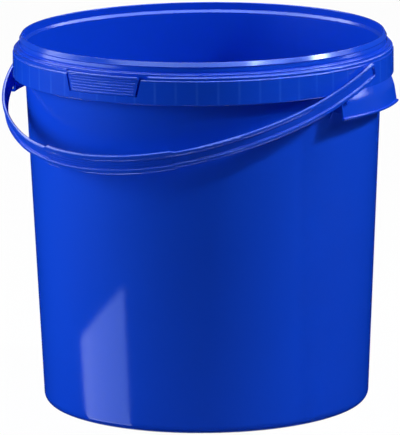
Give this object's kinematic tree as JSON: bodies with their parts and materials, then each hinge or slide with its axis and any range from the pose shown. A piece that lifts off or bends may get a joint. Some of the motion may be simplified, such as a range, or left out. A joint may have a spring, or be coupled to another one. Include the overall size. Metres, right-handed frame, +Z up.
{
  "type": "storage bucket",
  "caption": "Round tapered plastic storage bucket with a stepped rim and skirt, side grip hoods, a swinging bail handle with a grip, and a tear tab that folds down from the skirt.",
  "frame": {"origin": "middle of the base, on the plane that the foot ring stands on", "axes": "+Z up along the pail's axis, X along the handle's pivots, -Y towards the tear tab and the lowered grip"},
  "size_m": [0.4026, 0.4131, 0.3817],
  "materials": {
    "pail_plastic": "glossy moulded polypropylene",
    "handle_plastic": "glossy moulded polypropylene"
  },
  "bodies": {
    "pail": {"pail_body": "pail_plastic"},
    "handle": {"bail_handle": "handle_plastic"},
    "tab": {"tear_tab": "pail_plastic"}
  },
  "joints": [
    {"name": "handle_swing", "type": "hinge", "parent": "pail", "child": "handle", "pos_m": [0, 0, 0.3562], "axis": [-1, 0, 0], "range_deg": [0, 212]},
    {"name": "tab_fold", "type": "hinge", "parent": "pail", "child": "tab", "pos_m": [0.00474, -0.19394, 0.34755], "axis": [0.9997, 0.0244, 0], "range_deg": [0, 100]}
  ]
}
